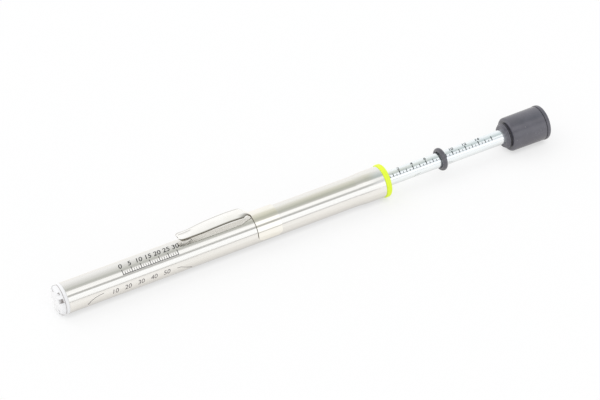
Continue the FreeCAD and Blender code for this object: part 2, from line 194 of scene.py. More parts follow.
def strips(rows):
    """Faces between each row of points and the next."""
    faces = []
    for one, two in zip(rows, rows[1:]):
        for k in range(len(one) - 1):
            faces.append((one[k], one[k + 1], two[k + 1], two[k]))
    return faces


# Nodes

def new_material(name, metallic=0.0):
    material = bpy.data.materials.new(name)
    material.use_nodes = True
    tree = material.node_tree
    shader = tree.nodes["Principled BSDF"]
    shader.inputs["Metallic"].default_value = metallic
    return material, tree, shader


def feed(tree, socket, value):
    """Link a socket to another node's output, or give it a number or colour of its own."""
    if isinstance(value, bpy.types.NodeSocket):
        tree.links.new(value, socket)
    elif isinstance(value, tuple):
        socket.default_value = (*value, 1)
    else:
        socket.default_value = value


def object_place(tree):
    """Place in the piece's own space, in metres."""
    return tree.nodes.new("ShaderNodeTexCoord").outputs["Object"]


def separate(tree, vector):
    """Outputs X, Y and Z of a place."""
    node = tree.nodes.new("ShaderNodeSeparateXYZ")
    tree.links.new(vector, node.inputs[0])
    return node.outputs


def noise(tree, scale, detail=4.0, stretch=(1, 1, 1), rough=0.55):
    """Noise in the piece's own space. The scale is in features a metre."""
    mapping = tree.nodes.new("ShaderNodeMapping")
    mapping.inputs["Scale"].default_value = stretch
    texture = tree.nodes.new("ShaderNodeTexNoise")
    texture.inputs["Scale"].default_value = scale
    texture.inputs["Detail"].default_value = detail
    texture.inputs["Roughness"].default_value = rough
    tree.links.new(object_place(tree), mapping.inputs["Vector"])
    tree.links.new(mapping.outputs["Vector"], texture.inputs["Vector"])
    return texture.outputs["Fac"]


def ramp(tree, value, stops):
    """Colour ramp. A stop's colour can be one number for a grey."""
    node = tree.nodes.new("ShaderNodeValToRGB")
    while len(node.color_ramp.elements) < len(stops):
        node.color_ramp.elements.new(0.5)
    for element, (place, color) in zip(node.color_ramp.elements, stops):
        element.position = place
        if not isinstance(color, tuple):
            color = (color, color, color)
        element.color = (*color, 1)
    tree.links.new(value, node.inputs["Fac"])
    return node.outputs["Color"]


def two_tone(tree, value, first, second):
    """Vary between two colours over the middle of a noise's range."""
    return ramp(tree, value, [(0.32, first), (0.68, second)])


def map_range(tree, value, source, target=(0.0, 1.0)):
    node = tree.nodes.new("ShaderNodeMapRange")
    limits = (*source, *target)
    for name, limit in zip(("From Min", "From Max", "To Min", "To Max"), limits):
        node.inputs[name].default_value = limit
    tree.links.new(value, node.inputs["Value"])
    return node.outputs["Result"]


def rescale(tree, value, low, high):
    """Spread the middle of a noise's range over low to high."""
    return map_range(tree, value, (0.3, 0.7), (low, high))


def calculate(tree, operation, first, second):
    node = tree.nodes.new("ShaderNodeMath")
    node.operation = operation
    feed(tree, node.inputs[0], first)
    feed(tree, node.inputs[1], second)
    return node.outputs[0]


def mix_colors(tree, share, first, second, blend="MIX"):
    node = tree.nodes.new("ShaderNodeMix")
    node.data_type = "RGBA"
    node.blend_type = blend
    feed(tree, node.inputs["Factor"], share)
    feed(tree, node.inputs["A"], first)
    feed(tree, node.inputs["B"], second)
    return node.outputs["Result"]


def openness(tree, distance, own_surfaces=False):
    """How open a point is to its surroundings: 1 in the open, 0 where all is closed in."""
    node = tree.nodes.new("ShaderNodeAmbientOcclusion")
    node.samples = 8
    node.only_local = own_surfaces
    node.inputs["Distance"].default_value = distance
    return node.outputs["AO"]


def grime(tree, color, distance, stops):
    """Paint shade into a colour: darken it where the piece's own surfaces close in on each other."""
    shade = ramp(tree, openness(tree, distance, True), stops)
    return mix_colors(tree, 1.0, color, shade, "MULTIPLY")


def bump(tree, shader, value, strength, distance):
    node = tree.nodes.new("ShaderNodeBump")
    node.inputs["Strength"].default_value = strength
    node.inputs["Distance"].default_value = distance
    tree.links.new(value, node.inputs["Height"])
    tree.links.new(node.outputs["Normal"], shader.inputs["Normal"])


def paint(tree, shader, color, roughness):
    feed(tree, shader.inputs["Base Color"], color)
    feed(tree, shader.inputs["Roughness"], roughness)


# Materials

DRAWN_GRAIN = 0.00003
MOULD_GRAIN = 0.00004
RUBBER_GRAIN = 0.00005


def make_tube_metal():
    """Satin nickel plate over a drawn tube: fine lines run along it and blur the light across it."""
    material, tree, shader = new_material("tube_nickel", 1.0)
    lines = noise(tree, 900, 6, (0.03, 1.6, 1.6), 0.7)
    patches = noise(tree, 60, 3, (0.4, 1, 1))
    color = two_tone(tree, lines, (0.845, 0.835, 0.805), (0.895, 0.885, 0.86))
    paint(tree, shader, color, rescale(tree, patches, 0.1, 0.16))
    bump(tree, shader, lines, 0.05, DRAWN_GRAIN)
    return material


def make_clip_metal():
    """Warm bright nickel on the clip's band, hazed along its blade and painted paler there, with painted
    shade at the margins.
    """
    material, tree, shader = new_material("clip_nickel")
    blade_metallic, band_metallic = 0.35, 1.0
    haze = noise(tree, 500, 5, (0.35, 1, 1))
    bright = two_tone(tree, haze, (0.93, 0.905, 0.84), (0.97, 0.955, 0.9))
    # Painted light: the blade is painted near white and given less metal, standing in for the bright
    # reflection it shows.
    painted_white_blade = two_tone(tree, haze, (0.97, 0.965, 0.95), (1.0, 0.995, 0.985))
    station = separate(tree, object_place(tree))["X"]
    metallic_along = map_range(tree, station, (82 * MM, 86 * MM), (blade_metallic, band_metallic))
    plate = mix_colors(tree, metallic_along, painted_white_blade, bright)
    margin = tree.nodes.new("ShaderNodeAttribute")
    margin.attribute_name = "margin"
    # Painted shade and dark reflection: the clip is darkened along its edges, the side of its bend and its
    # groove.
    color = mix_colors(tree, margin.outputs["Fac"], plate, (0.085, 0.07, 0.038))
    dull = map_range(tree, metallic_along, (blade_metallic, band_metallic), (0.2, 0.0))
    smears = rescale(tree, noise(tree, 140, 4), 0.05, 0.1)
    paint(tree, shader, color, calculate(tree, "ADD", smears, dull))
    feed(tree, shader.inputs["Metallic"], metallic_along)
    bump(tree, shader, haze, 0.03, DRAWN_GRAIN)
    return material


def make_clip_edge():
    """Sheared edge of the strip: duller than its plated faces, and painted dark for the shade along it."""
    material, tree, shader = new_material("clip_edge", 0.3)
    lines = noise(tree, 1200, 4)
    # The dark colour also stands in for the shade and dark reflection along the strip's edge.
    color = two_tone(tree, lines, (0.085, 0.07, 0.038), (0.14, 0.115, 0.07))
    paint(tree, shader, color, rescale(tree, lines, 0.42, 0.6))
    bump(tree, shader, lines, 0.1, DRAWN_GRAIN)
    return material


def make_clip_inside():
    """Inner face of the strip, where the plating is thin and dull."""
    material, tree, shader = new_material("clip_inside", 1.0)
    cloud = noise(tree, 700, 4)
    color = two_tone(tree, cloud, (0.92, 0.92, 0.91), (0.95, 0.95, 0.94))
    paint(tree, shader, color, rescale(tree, cloud, 0.22, 0.3))
    bump(tree, shader, cloud, 0.02, DRAWN_GRAIN)
    return material


def make_rod_metal():
    """Bluish zinc plate on ground bar: faint turning rings and a cloudy sheen."""
    material, tree, shader = new_material("rod_zinc", 0.92)
    rings = noise(tree, 700, 5, (2.2, 0.1, 0.1), 0.65)
    cloud = noise(tree, 260, 4)
    color = two_tone(tree, cloud, (0.9, 0.95, 0.985), (0.94, 0.98, 1.0))
    paint(tree, shader, color, rescale(tree, cloud, 0.13, 0.2))
    bump(tree, shader, rings, 0.06, DRAWN_GRAIN)
    return material


def make_bright_plastic():
    """Fluorescent yellow-green moulded plastic, which gives back a little more light than falls on it."""
    material, tree, shader = new_material("bright_plastic")
    cloud = noise(tree, 350, 4)
    color = two_tone(tree, cloud, (0.76, 0.95, 0.022), (0.84, 1.0, 0.04))
    paint(tree, shader, color, rescale(tree, noise(tree, 900, 3), 0.36, 0.5))
    bump(tree, shader, noise(tree, 2500, 3), 0.08, MOULD_GRAIN)
    shader.inputs["Emission Color"].default_value = (0.8, 0.98, 0.03, 1)
    shader.inputs["Emission Strength"].default_value = 0.05
    return material


def make_clear_plastic():
    """Milky white moulded plastic, with painted shade in its notches."""
    material, tree, shader = new_material("milky_plastic")
    cloud = noise(tree, 300, 4)
    color = two_tone(tree, cloud, (0.9, 0.905, 0.92), (0.955, 0.955, 0.965))
    # Painted shade: the plastic is darkened in its notches and its groove, where its own surfaces close in.
    color = grime(tree, color, 1.6 * MM, [(0.3, (0.5, 0.46, 0.44)), (0.75, 1.0)])
    paint(tree, shader, color, rescale(tree, noise(tree, 800, 3), 0.2, 0.32))
    bump(tree, shader, noise(tree, 600, 2), 0.03, DRAWN_GRAIN)
    return material


def add_specks(tree, color, speck_color):
    """Strew a few small specks of dust over a colour."""
    cells = tree.nodes.new("ShaderNodeTexVoronoi")
    cells.feature = "F1"
    cells.inputs["Scale"].default_value = 520
    tree.links.new(object_place(tree), cells.inputs["Vector"])
    dots = ramp(tree, cells.outputs["Distance"], [(0.075, 1.0), (0.13, 0.0)])
    few = ramp(tree, noise(tree, 170, 1), [(0.6, 0.0), (0.66, 0.6)])
    return mix_colors(tree, calculate(tree, "MULTIPLY", dots, few), color, speck_color)


def make_grey_rubber():
    """Satin charcoal rubber with a fine mould grain and a few specks of dust."""
    material, tree, shader = new_material("grey_rubber")
    cloud = noise(tree, 220, 4)
    color = ramp(tree, cloud, [(0.3, (0.076, 0.074, 0.097)), (0.7, (0.099, 0.097, 0.124))])
    color = add_specks(tree, color, (0.4, 0.4, 0.42))
    # Painted shade: the rubber is darkened in its grooves and where its neck meets its shoulder.
    color = grime(tree, color, 1.8 * MM, [(0.4, 0.2), (0.9, 1.0)])
    paint(tree, shader, color, rescale(tree, cloud, 0.2, 0.28))
    shader.inputs["Specular IOR Level"].default_value = 1.0
    bump(tree, shader, noise(tree, 3500, 4), 0.16, RUBBER_GRAIN)
    return material


def make_black_rubber():
    """Smooth black rubber with a soft shine."""
    material, tree, shader = new_material("black_rubber")
    cloud = noise(tree, 500, 4)
    color = two_tone(tree, cloud, (0.078, 0.077, 0.094), (0.102, 0.1, 0.122))
    paint(tree, shader, color, rescale(tree, cloud, 0.13, 0.22))
    shader.inputs["Specular IOR Level"].default_value = 0.9
    bump(tree, shader, noise(tree, 3000, 3), 0.08, MOULD_GRAIN)
    return material


def make_spring_metal():
    """Drawn and oiled spring steel."""
    material, tree, shader = new_material("spring_metal", 1.0)
    lines = noise(tree, 1500, 5, (0.4, 1, 1))
    color = two_tone(tree, lines, (0.4, 0.4, 0.41), (0.58, 0.58, 0.59))
    paint(tree, shader, color, rescale(tree, lines, 0.24, 0.38))
    bump(tree, shader, lines, 0.1, DRAWN_GRAIN)
    return material


def make_acetal():
    """Natural acetal, turned: off-white, with fine tool rings."""
    material, tree, shader = new_material("acetal")
    rings = noise(tree, 900, 4, (2.5, 0.1, 0.1))
    color = two_tone(tree, rings, (0.82, 0.82, 0.79), (0.9, 0.9, 0.875))
    paint(tree, shader, color, rescale(tree, rings, 0.34, 0.48))
    bump(tree, shader, rings, 0.1, MOULD_GRAIN)
    return material


def make_ink(name, color):
    """Printed ink: dull, and a little thinner in places."""
    material, tree, shader = new_material(name)
    cloud = noise(tree, 2500, 4)
    thin = tuple(0.12 + c * 1.3 for c in color)
    paint(tree, shader, ramp(tree, cloud, [(0.5, color), (0.78, thin)]), rescale(tree, cloud, 0.42, 0.6))
    return material


rod_metal = make_rod_metal()
clip_metal = make_clip_metal()
spring_metal = make_spring_metal()
black_rubber = make_black_rubber()


# Pieces inside the barrel, which keep their solids

def dress(node, material):
    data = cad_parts[node].data
    data.materials.clear()
    data.materials.append(material)


dress("spring_washer", rod_metal)
dress("retaining_clip", spring_metal)
dress("guide_piston", make_acetal())
dress("return_bumper", black_rubber)


# Barrel

def make_barrel():
    bore = TUBE_RADIUS - TUBE_WALL
    mouth_bore = MOUTH_RADIUS - TUBE_WALL
    vertices, faces = lathe([
        (TUBE_START, bore, 0),
        (TUBE_START, TUBE_RADIUS, TUBE_EDGE),
        (SKIN_FLARE[0], TUBE_RADIUS, SKIN_FLARE_ROUNDS[0]),
        (SKIN_FLARE[1], MOUTH_RADIUS, SKIN_FLARE_ROUNDS[1]),
        (TUBE_END, MOUTH_RADIUS, TUBE_EDGE),
        (TUBE_END, mouth_bore, 0),
        (BORE_FLARE[1], mouth_bore, 0),
        (BORE_FLARE[0], bore, 0),
    ], True)
    add_mesh("barrel_skin", vertices, faces, make_tube_metal(), "barrel", ("barrel_tube",))


def make_bushing():
    vertices, faces = lathe([
        (BUSHING_START, BUSHING_BORE_RADIUS, 0),
        (BUSHING_START, BUSHING_RADIUS, 0.3),
        (BORE_FLARE[1], BUSHING_RADIUS, 0),
        (BORE_FLARE[1], BUSHING_SEAT_RADIUS, 0),
        (TUBE_END, BUSHING_SEAT_RADIUS, 0),
        (TUBE_END, FLANGE_RADIUS, 0.6),
        (BUSHING_END, FLANGE_RADIUS, 0.75),
        (BUSHING_END, BUSHING_LEAD[1], 0),
        (BUSHING_LEAD[0], BUSHING_BORE_RADIUS, 0),
    ], True)
    add_mesh("bushing_moulding", vertices, faces, make_bright_plastic(), "barrel",
             ("mouth_bushing",))


make_barrel()
make_bushing()


# Belt end plug

NOTCH_COUNT = 4
NOTCH_ANGLE = 52
NOTCH_CENTRE = (0.7, 0, 5.15)
NOTCH_SIZE = (1.8, 1.8, 2.8)
SHALLOW_ANGLES = (22, 125)
SHALLOW_CENTRE = (0.55, 0, 6.0)
SHALLOW_SIZE = (0.9, 1.2, 0.7)


def cut(piece, boxes):
    """Cut boxes, each a centre, size and turn about the tool's axis, out of a mesh."""
    bm = bmesh.new()
    for centre, size, angle in boxes:
        made = bmesh.ops.create_cube(bm, size=1.0)["verts"]
        turn = Matrix.Rotation(math.radians(angle), 3, "X")
        bmesh.ops.scale(bm, verts=made, vec=Vector(size) * MM)
        bmesh.ops.translate(bm, verts=made, vec=Vector(centre) * MM)
        bmesh.ops.rotate(bm, verts=made, cent=(0, 0, 0), matrix=turn)
    mesh = bpy.data.meshes.new("notch_cutter")
    bm.to_mesh(mesh)
    bm.free()
    cutter = bpy.data.objects.new("notch_cutter", mesh)
    bpy.context.scene.collection.objects.link(cutter)
    modifier = piece.modifiers.new("notches", "BOOLEAN")
    modifier.operation = "DIFFERENCE"
    modifier.solver = "EXACT"
    modifier.object = cutter
    bpy.context.view_layer.update()
    shaped = bpy.data.meshes.new_from_object(piece.evaluated_get(bpy.context.evaluated_depsgraph_get()))
    piece.modifiers.clear()
    whole = piece.data
    piece.data = shaped
    bpy.data.meshes.remove(whole)
    bpy.data.objects.remove(cutter)
    shaped.shade_smooth()
    shaped.set_sharp_from_angle(angle=math.radians(SMOOTH_ANGLE))


def make_plug():
    vertices, faces = lathe([
        (0, 0, 0),
        (0, NOSE_RADIUS, NOSE_ROUND),
        (NOSE_GROOVE[0] - 0.05, NOSE_RADIUS, 0.1),
        (NOSE_GROOVE[0], NOSE_GROOVE_RADIUS, 0),
        (NOSE_GROOVE[1], NOSE_GROOVE_RADIUS, 0),
        (NOSE_GROOVE[1] + 0.05, TUBE_RADIUS, 0.15),
        (TUBE_START, TUBE_RADIUS, 0.12),
        (TUBE_START, PLUG_SPIGOT_RADIUS, 0),
        (SPRING_SEAT, PLUG_SPIGOT_RADIUS, 0.3),
        (SPRING_SEAT, BOSS_RADIUS, 0),
        (BOSS_END, BOSS_RADIUS, 0.3),
        (BOSS_END, PLUG_BORE_RADIUS, 0),
        (PLUG_BORE_START, PLUG_BORE_RADIUS, 0),
        (PLUG_BORE_START, 0, 0),
    ], False)
    plug = add_mesh("plug_moulding", vertices, faces, make_clear_plastic(), "barrel",
                    ("belt_end_plug",))
    boxes = []
    for k in range(NOTCH_COUNT):
        boxes.append((NOTCH_CENTRE, NOTCH_SIZE, NOTCH_ANGLE + 360 / NOTCH_COUNT * k))
    for angle in SHALLOW_ANGLES:
        boxes.append((SHALLOW_CENTRE, SHALLOW_SIZE, angle))
    cut(plug, boxes)


make_plug()


# Pocket clip: a band round the barrel and a blade over it, as (station, value) curves along the blade

CLIP_ANGLE = 12
STRIP = 0.5
STRIP_EDGE = 0.07

BAND_START = 85.8
BAND_END = 96.5
BAND_MIDDLE = 6.62
BAND_HALF_WRAP = 114
BAND_CORNER = 1.8
BAND_SIDE_STEPS = 16
BAND_LENGTH_STEPS = 7

BLADE_START = 53.8
BLADE_CORNER = 1.5
BLADE_COLUMNS = 14
BLADE_TOPS = [
    (54.1, 8.85), (57.5, 8.98), (62.3, 9.35), (68.1, 9.8), (75.6, 10.08),
    (81.9, 9.84), (82.85, 9.58), (84.25, 8.68), (85.65, 7.45), (86.5, 6.87),
]
BLADE_HALVES = [(57.5, 2.9), (70.0, 3.05), (81.9, 3.05), (82.85, 2.25), (84.25, 1.54), (85.65, 1.3)]
BLADE_CROWNS = [(54.1, 0.1), (57.5, 0.35), (62.3, 0.5), (81.9, 0.5), (84.25, 0.2), (85.65, 0.13)]
BLADE_CURLS = [(54.1, 0.05), (57.5, 0.1), (81.9, 0.1), (84.25, 0.05), (85.65, 0.0)]
BLADE_ROLLS = [(57.5, 1.0), (66.0, 8.0), (82.5, 8.5), (85.0, 0.0)]
BLADE_NECK_HALF = 1.3
BLADE_BEND_START = 80.5
# Share of painted shade and dark reflection, by column: the near edge, the side of the bend, the far edge
SHADE_NEAR = [(0, 0.95), (1, 0.75)]
SHADE_BEND = [(2, 0.65), (3, 0.5), (4, 0.3)]
SHADE_FAR = [(12, 0.5), (13, 0.3), (14, 0.25)]
SHADE_BEND_START = 79.5
SHADE_BEND_LENGTH = 2.5
SHADE_GROOVE = (9, 0.5)
SHADE_GROOVE_SPAN = (54.6, 60.4)
GROOVE_CENTRE = 57.6
GROOVE_HALF_LENGTH = 2.6
GROOVE_HALF_WIDTH = 0.55
GROOVE_DEPTH = 0.3


def curve_through(points, x):
    """Smooth value at x through (place, value) points, with no overshoot."""
    places = [p[0] for p in points]
    values = [p[1] for p in points]
    if x <= places[0]:
        return values[0]
    if x >= places[-1]:
        return values[-1]
    slopes = []
    for i in range(len(points) - 1):
        slopes.append((values[i + 1] - values[i]) / (places[i + 1] - places[i]))
    tangents = [0.0]
    for before, after in zip(slopes, slopes[1:]):
        if before * after <= 0:
            tangents.append(0.0)
        else:
            tangents.append(2 * before * after / (before + after))
    tangents.append(0.0)
    i = 0
    while x > places[i + 1]:
        i += 1
    span = places[i + 1] - places[i]
    u = (x - places[i]) / span
    value = values[i] * (2 * u ** 3 - 3 * u ** 2 + 1)
    value += tangents[i] * span * (u ** 3 - 2 * u ** 2 + u)
    value += values[i + 1] * (3 * u ** 2 - 2 * u ** 3)
    value += tangents[i + 1] * span * (u ** 3 - u ** 2)
    return value


def blade_point(x, share):
    """Point of the blade's middle surface. The share runs from -1 to 1 across it."""
    half = curve_through(BLADE_HALVES, x)
    if x < BLADE_START + BLADE_CORNER:
        start = (x - BLADE_START) / BLADE_CORNER
        half -= BLADE_CORNER * (1 - math.sqrt(max(0.0, 1 - (1 - start) ** 2)))
    across = half * share
    up = curve_through(BLADE_TOPS, x) - STRIP / 2
    up -= curve_through(BLADE_CROWNS, x) * share ** 2 + curve_through(BLADE_CURLS, x) * share ** 8
    near = ((x - GROOVE_CENTRE) / GROOVE_HALF_LENGTH) ** 4 + (across / GROOVE_HALF_WIDTH) ** 2
    if near < 1:
        up -= GROOVE_DEPTH * (1 - near)
    up += across * math.tan(math.radians(curve_through(BLADE_ROLLS, x)))
    return x, across, up


def lean(point):
    """Turn a point from upright to the angle that the clip stands at."""
    x, across, up = point
    turn = math.radians(CLIP_ANGLE)
    return (x, across * math.cos(turn) + up * math.sin(turn), up * math.cos(turn) - across * math.sin(turn))


def band_angles():
    """Angles of the band's columns, with the blade's own columns in the middle."""
    neck = math.degrees(math.asin(BLADE_NECK_HALF / BAND_MIDDLE))
    side = []
    for k in range(BAND_SIDE_STEPS):
        side.append(-BAND_HALF_WRAP + (BAND_HALF_WRAP - neck - 1.5) * k / (BAND_SIDE_STEPS - 1))
    middle = []
    for k in range(BLADE_COLUMNS + 1):
        middle.append(-neck + 2 * neck * k / BLADE_COLUMNS)
    return side + middle + [-angle for angle in reversed(side)]


def band_stations():
    """Stations of the band's rows, closer together at its edges."""
    edge, inner = 0.35, 1.2
    stations = [BAND_START, BAND_START + edge, BAND_START + inner]
    for k in range(1, BAND_LENGTH_STEPS + 1):
        length = BAND_END - BAND_START - inner - edge
        stations.append(BAND_START + inner + length * k / BAND_LENGTH_STEPS)
    stations.append(BAND_END)
    return stations


def band_point(x, angle):
    """Point of the band's middle surface, whose four corners are round."""
    edge = math.radians(BAND_HALF_WRAP - abs(angle)) * BAND_MIDDLE
    inset = 0.0
    if edge < BAND_CORNER:
        inset = BAND_CORNER - math.sqrt(BAND_CORNER ** 2 - (BAND_CORNER - edge) ** 2)
    share = (x - BAND_START) / (BAND_END - BAND_START)
    place = BAND_START + inset + (BAND_END - BAND_START - 2 * inset) * share
    turn = math.radians(angle)
    return place, BAND_MIDDLE * math.sin(turn), BAND_MIDDLE * math.cos(turn)


def blade_stations():
    """Stations of the blade's rows, closer together at its round end, its groove and its bend."""
    steps = [0.0, 0.06, 0.16, 0.32, 0.55, 0.85, 1.2, 1.6, 2.0, 2.4, 2.8]
    steps += [3.2, 3.6, 4.0, 4.4, 4.8, 5.2, 5.6, 6.0, 6.8]
    stations = [BLADE_START + step for step in steps]
    while stations[-1] < BLADE_BEND_START:
        stations.append(stations[-1] + 1.2)
    while stations[-1] < BAND_START - 0.75:
        stations.append(stations[-1] + 0.35)
    stations.append(BAND_START - 0.3)
    return stations


def add_row(vertices, points):
    """Add leaning points to a list of vertices and give their numbers."""
    start = len(vertices)
    vertices.extend(lean(point) for point in points)
    return list(range(start, len(vertices)))


def rub_margins(clip, stations, rows):
    """Store where shade and dark reflection are painted on the clip's margins, as a value of each point."""
    margin = clip.data.attributes.new("margin", "FLOAT", "POINT")
    for x, row in zip(stations, rows):
        for column, value in SHADE_NEAR + SHADE_FAR:
            margin.data[row[column]].value = value
        bend = min(1.0, max(0.0, (x - SHADE_BEND_START) / SHADE_BEND_LENGTH))
        for column, value in SHADE_BEND:
            margin.data[row[column]].value = value * bend
        column, value = SHADE_GROOVE
        if SHADE_GROOVE_SPAN[0] < x < SHADE_GROOVE_SPAN[1]:
            margin.data[row[column]].value = value


def thicken(clip):
    """Give the clip's middle surface its thickness, with its own edge and inner materials."""
    smooth = clip.modifiers.new("smooth", "SUBSURF")
    smooth.levels = 2
    smooth.render_levels = 2
    thick = clip.modifiers.new("thickness", "SOLIDIFY")
    thick.thickness = STRIP * MM
    thick.offset = 0
    thick.material_offset = 2
    thick.material_offset_rim = 1
    edges = clip.modifiers.new("edges", "BEVEL")
    edges.width = STRIP_EDGE * MM
    edges.segments = 3
    edges.limit_method = "ANGLE"
    edges.angle_limit = math.radians(55)


def make_clip():
    vertices = []
    angles = band_angles()
    band = []
    for x in band_stations():
        band.append(add_row(vertices, [band_point(x, angle) for angle in angles]))
    stations = blade_stations()
    rows = []
    for x in stations:
        points = []
        for k in range(BLADE_COLUMNS + 1):
            share = 2 * k / BLADE_COLUMNS - 1
            # The columns lie closer together towards the blade's edges
            points.append(blade_point(x, (share + math.sin(share * math.pi / 2)) / 2))
        rows.append(add_row(vertices, points))
    rows.append(band[0][BAND_SIDE_STEPS:BAND_SIDE_STEPS + BLADE_COLUMNS + 1])
    clip = add_mesh("clip_strip", vertices, strips(band) + strips(rows), clip_metal, "barrel",
                    ("pocket_clip",), 80)
    clip.data.materials.append(make_clip_edge())
    clip.data.materials.append(make_clip_inside())
    rub_margins(clip, stations, rows)
    thicken(clip)


def make_foot():
    """Rounded bead under the blade's end that presses on the barrel."""
    levels = [(1.0, 8.42), (0.96, 8.0), (0.86, 7.5), (0.7, 7.0), (0.5, 6.65), (0.28, 6.45), (0.0, 6.38)]
    centre = 57.3
    around = 40
    vertices = []
    rows = []
    for share, up in levels:
        half_length = 1.3 + 1.3 * share
        half_width = 0.25 + 0.95 * share
        if share == 0:
            half_length, half_width = 0.9, 0.1
        points = []
        for k in range(around):
            turn = 2 * math.pi * k / around
            points.append((centre + half_length * math.cos(turn), half_width * math.sin(turn), up))
        row = add_row(vertices, points)
        rows.append(row + row[:1])
    faces = strips(rows)
    faces.append(tuple(rows[0][:around]))
    faces.append(tuple(rows[-1][:around]))
    add_mesh("clip_foot", vertices, faces, clip_metal, "barrel", (), 60)


make_clip()
make_foot()


# Plunger

RING_CENTRE = 174.4
RING_HALF_WIDTH = 1.08
RING_HALF_HEIGHT = 0.86
RING_GAP = 0.045
RING_SIDES = 32


def make_rod():
    vertices, faces = lathe([
        (ROD_START, 0, 0),
        (ROD_START, ROD_SPIGOT_RADIUS, 0.5),
        (ROD_GROOVE[0], ROD_SPIGOT_RADIUS, 0),
        (ROD_GROOVE[0], ROD_GROOVE_RADIUS, 0),
        (ROD_GROOVE[1], ROD_GROOVE_RADIUS, 0),
        (ROD_GROOVE[1], ROD_SPIGOT_RADIUS, 0),
        (ROD_SPIGOT_END, ROD_SPIGOT_RADIUS, 0),
        (ROD_SPIGOT_END, ROD_RADIUS, 0),
        (ROD_END, ROD_RADIUS, 0),
        (ROD_END, 0, 0),
    ], False)
    add_mesh("rod_bar", vertices, faces, rod_metal, "plunger", ("plunger_rod",))


def make_tip():
    """Rubber end: a lip and a neck on the rod, a shoulder, a slightly tapered grip and a rim."""
    vertices, faces = lathe([
        (TIP_START, ROD_RADIUS, 0),
        (TIP_START, LIP_RADII[0], 0.3),
        (NECK_START - 0.05, LIP_RADII[1], 0.2),
        (NECK_START, NECK_RADII[0], 0.25),
        (NECK_END, NECK_RADII[1], 0.25),
        (NECK_END + 0.05, NECK_GROOVE_RADIUS, 0.15),
        (SHOULDER - 0.05, NECK_GROOVE_RADIUS, 0.15),
        (SHOULDER, GRIP_RADII[0], 1.1),
        (RIM_START - 0.35, GRIP_RADII[1], 0.05),
        (RIM_START - 0.2, RIM_GROOVE_RADIUS, 0.05),
        (RIM_START - 0.05, RIM_GROOVE_RADIUS, 0.05),
        (RIM_START, RIM_RADIUS, 0.3),
        (TIP_END, RIM_RADIUS, 1.7),
        (TIP_END, 0, 0),
        (ROD_END, 0, 0),
        (ROD_END, ROD_RADIUS, 0),
    ], False)
    add_mesh("tip_moulding", vertices, faces, make_grey_rubber(), "plunger", ("rubber_tip",))


def make_ring():
    """O-ring, stretched on the rod so that its section is a little wider than it is tall."""
    centre = ROD_RADIUS + RING_GAP + RING_HALF_HEIGHT
    corners = []
    for k in range(RING_SIDES):
        angle = 2 * math.pi * k / RING_SIDES
        x = RING_CENTRE + RING_HALF_WIDTH * math.cos(angle)
        corners.append((x, centre + RING_HALF_HEIGHT * math.sin(angle), 0))
    vertices, faces = lathe(corners, True)
    add_mesh("marker_ring", vertices, faces, black_rubber, "force_marker",
             ("force_marker_ring",), 80)


make_rod()
make_tip()
make_ring()


# Spring

SPRING_TURNS = 16
SPRING_RADIUS = 4.695
SPRING_END_PITCH = 1.3
WIRE_RADIUS = 0.57
WIRE_SIDES = 12
STEPS_A_TURN = 40


def make_spring():
    """Compression spring of round wire with one close turn at each end, ground flat."""
    pitch = (SPRING_LENGTH - 2 * SPRING_END_PITCH) / (SPRING_TURNS - 2)
    vertices = []
    rows = []
    for step in range(SPRING_TURNS * STEPS_A_TURN + 1):
        turn = step / STEPS_A_TURN
        close = min(turn, 1) + max(turn - SPRING_TURNS + 1, 0)
        x = SPRING_SEAT + SPRING_END_PITCH * close + pitch * (turn - close)
        angle = 2 * math.pi * turn
        row = []
        for k in range(WIRE_SIDES):
            around = 2 * math.pi * k / WIRE_SIDES
            r = SPRING_RADIUS + WIRE_RADIUS * math.cos(around)
            place = min(max(x + WIRE_RADIUS * math.sin(around), SPRING_SEAT), SPRING_SEAT + SPRING_LENGTH)
            row.append(len(vertices))
            vertices.append((place, r * math.sin(angle), r * math.cos(angle)))
        rows.append(row + row[:1])
    faces = strips(rows)
    faces.append(tuple(rows[0][:WIRE_SIDES]))
    faces.append(tuple(rows[-1][:WIRE_SIDES]))
    spring = add_mesh("spring_wire", vertices, faces, spring_metal, "barrel",
                      ("compression_spring",), 70)
    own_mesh(spring)


make_spring()


# Printing: flat shapes laid on the round surface, with x along the tool and an angle from the top
# towards the side that faces the camera

INK = 0.012
SLICE = 0.2
SLICES = 60

FORCE_ZERO = 147.5
FORCE_UNIT = 3.175
FORCE_MARKS_ANGLE = 29
FORCE_FIGURES_ANGLE = -8
FORCE_MARK_FOOT = -0.95
# Top of each kind of mark, its width at the foot and its width at the top
FORCE_EVEN_MARK = (1.0, 0.36, 0.52)
FORCE_ODD_MARK = (0.5, 0.32, 0.38)
FORCE_HALF_MARK = (-0.1, 0.24, 0.28)
FORCE_UNITS = 16
# Height, slant and boldness of each scale's figures
FORCE_FIGURE = (1.6, 0.25, 0.07)
SPAN_FIGURE = (2.2, 0.2, 0.04)
LOWER_FIGURE = (2.1, 0.15, 0.0)

SPAN_START = 27.5
SPAN_LENGTH = 24
SPAN_MARKS_ANGLE = 38
SPAN_FIGURES_ANGLE = 4
# Height and width of each kind of mark
SPAN_LONG_MARK = (2.1, 0.3)
SPAN_SHORT_MARK = (1.2, 0.2)

LOWER_FIGURES = ("10", "20", "30", "40", "50")
LOWER_FIGURES_START = 22.5
LOWER_FIGURES_STEP = 5.6
LOWER_FIGURES_ANGLE = 88


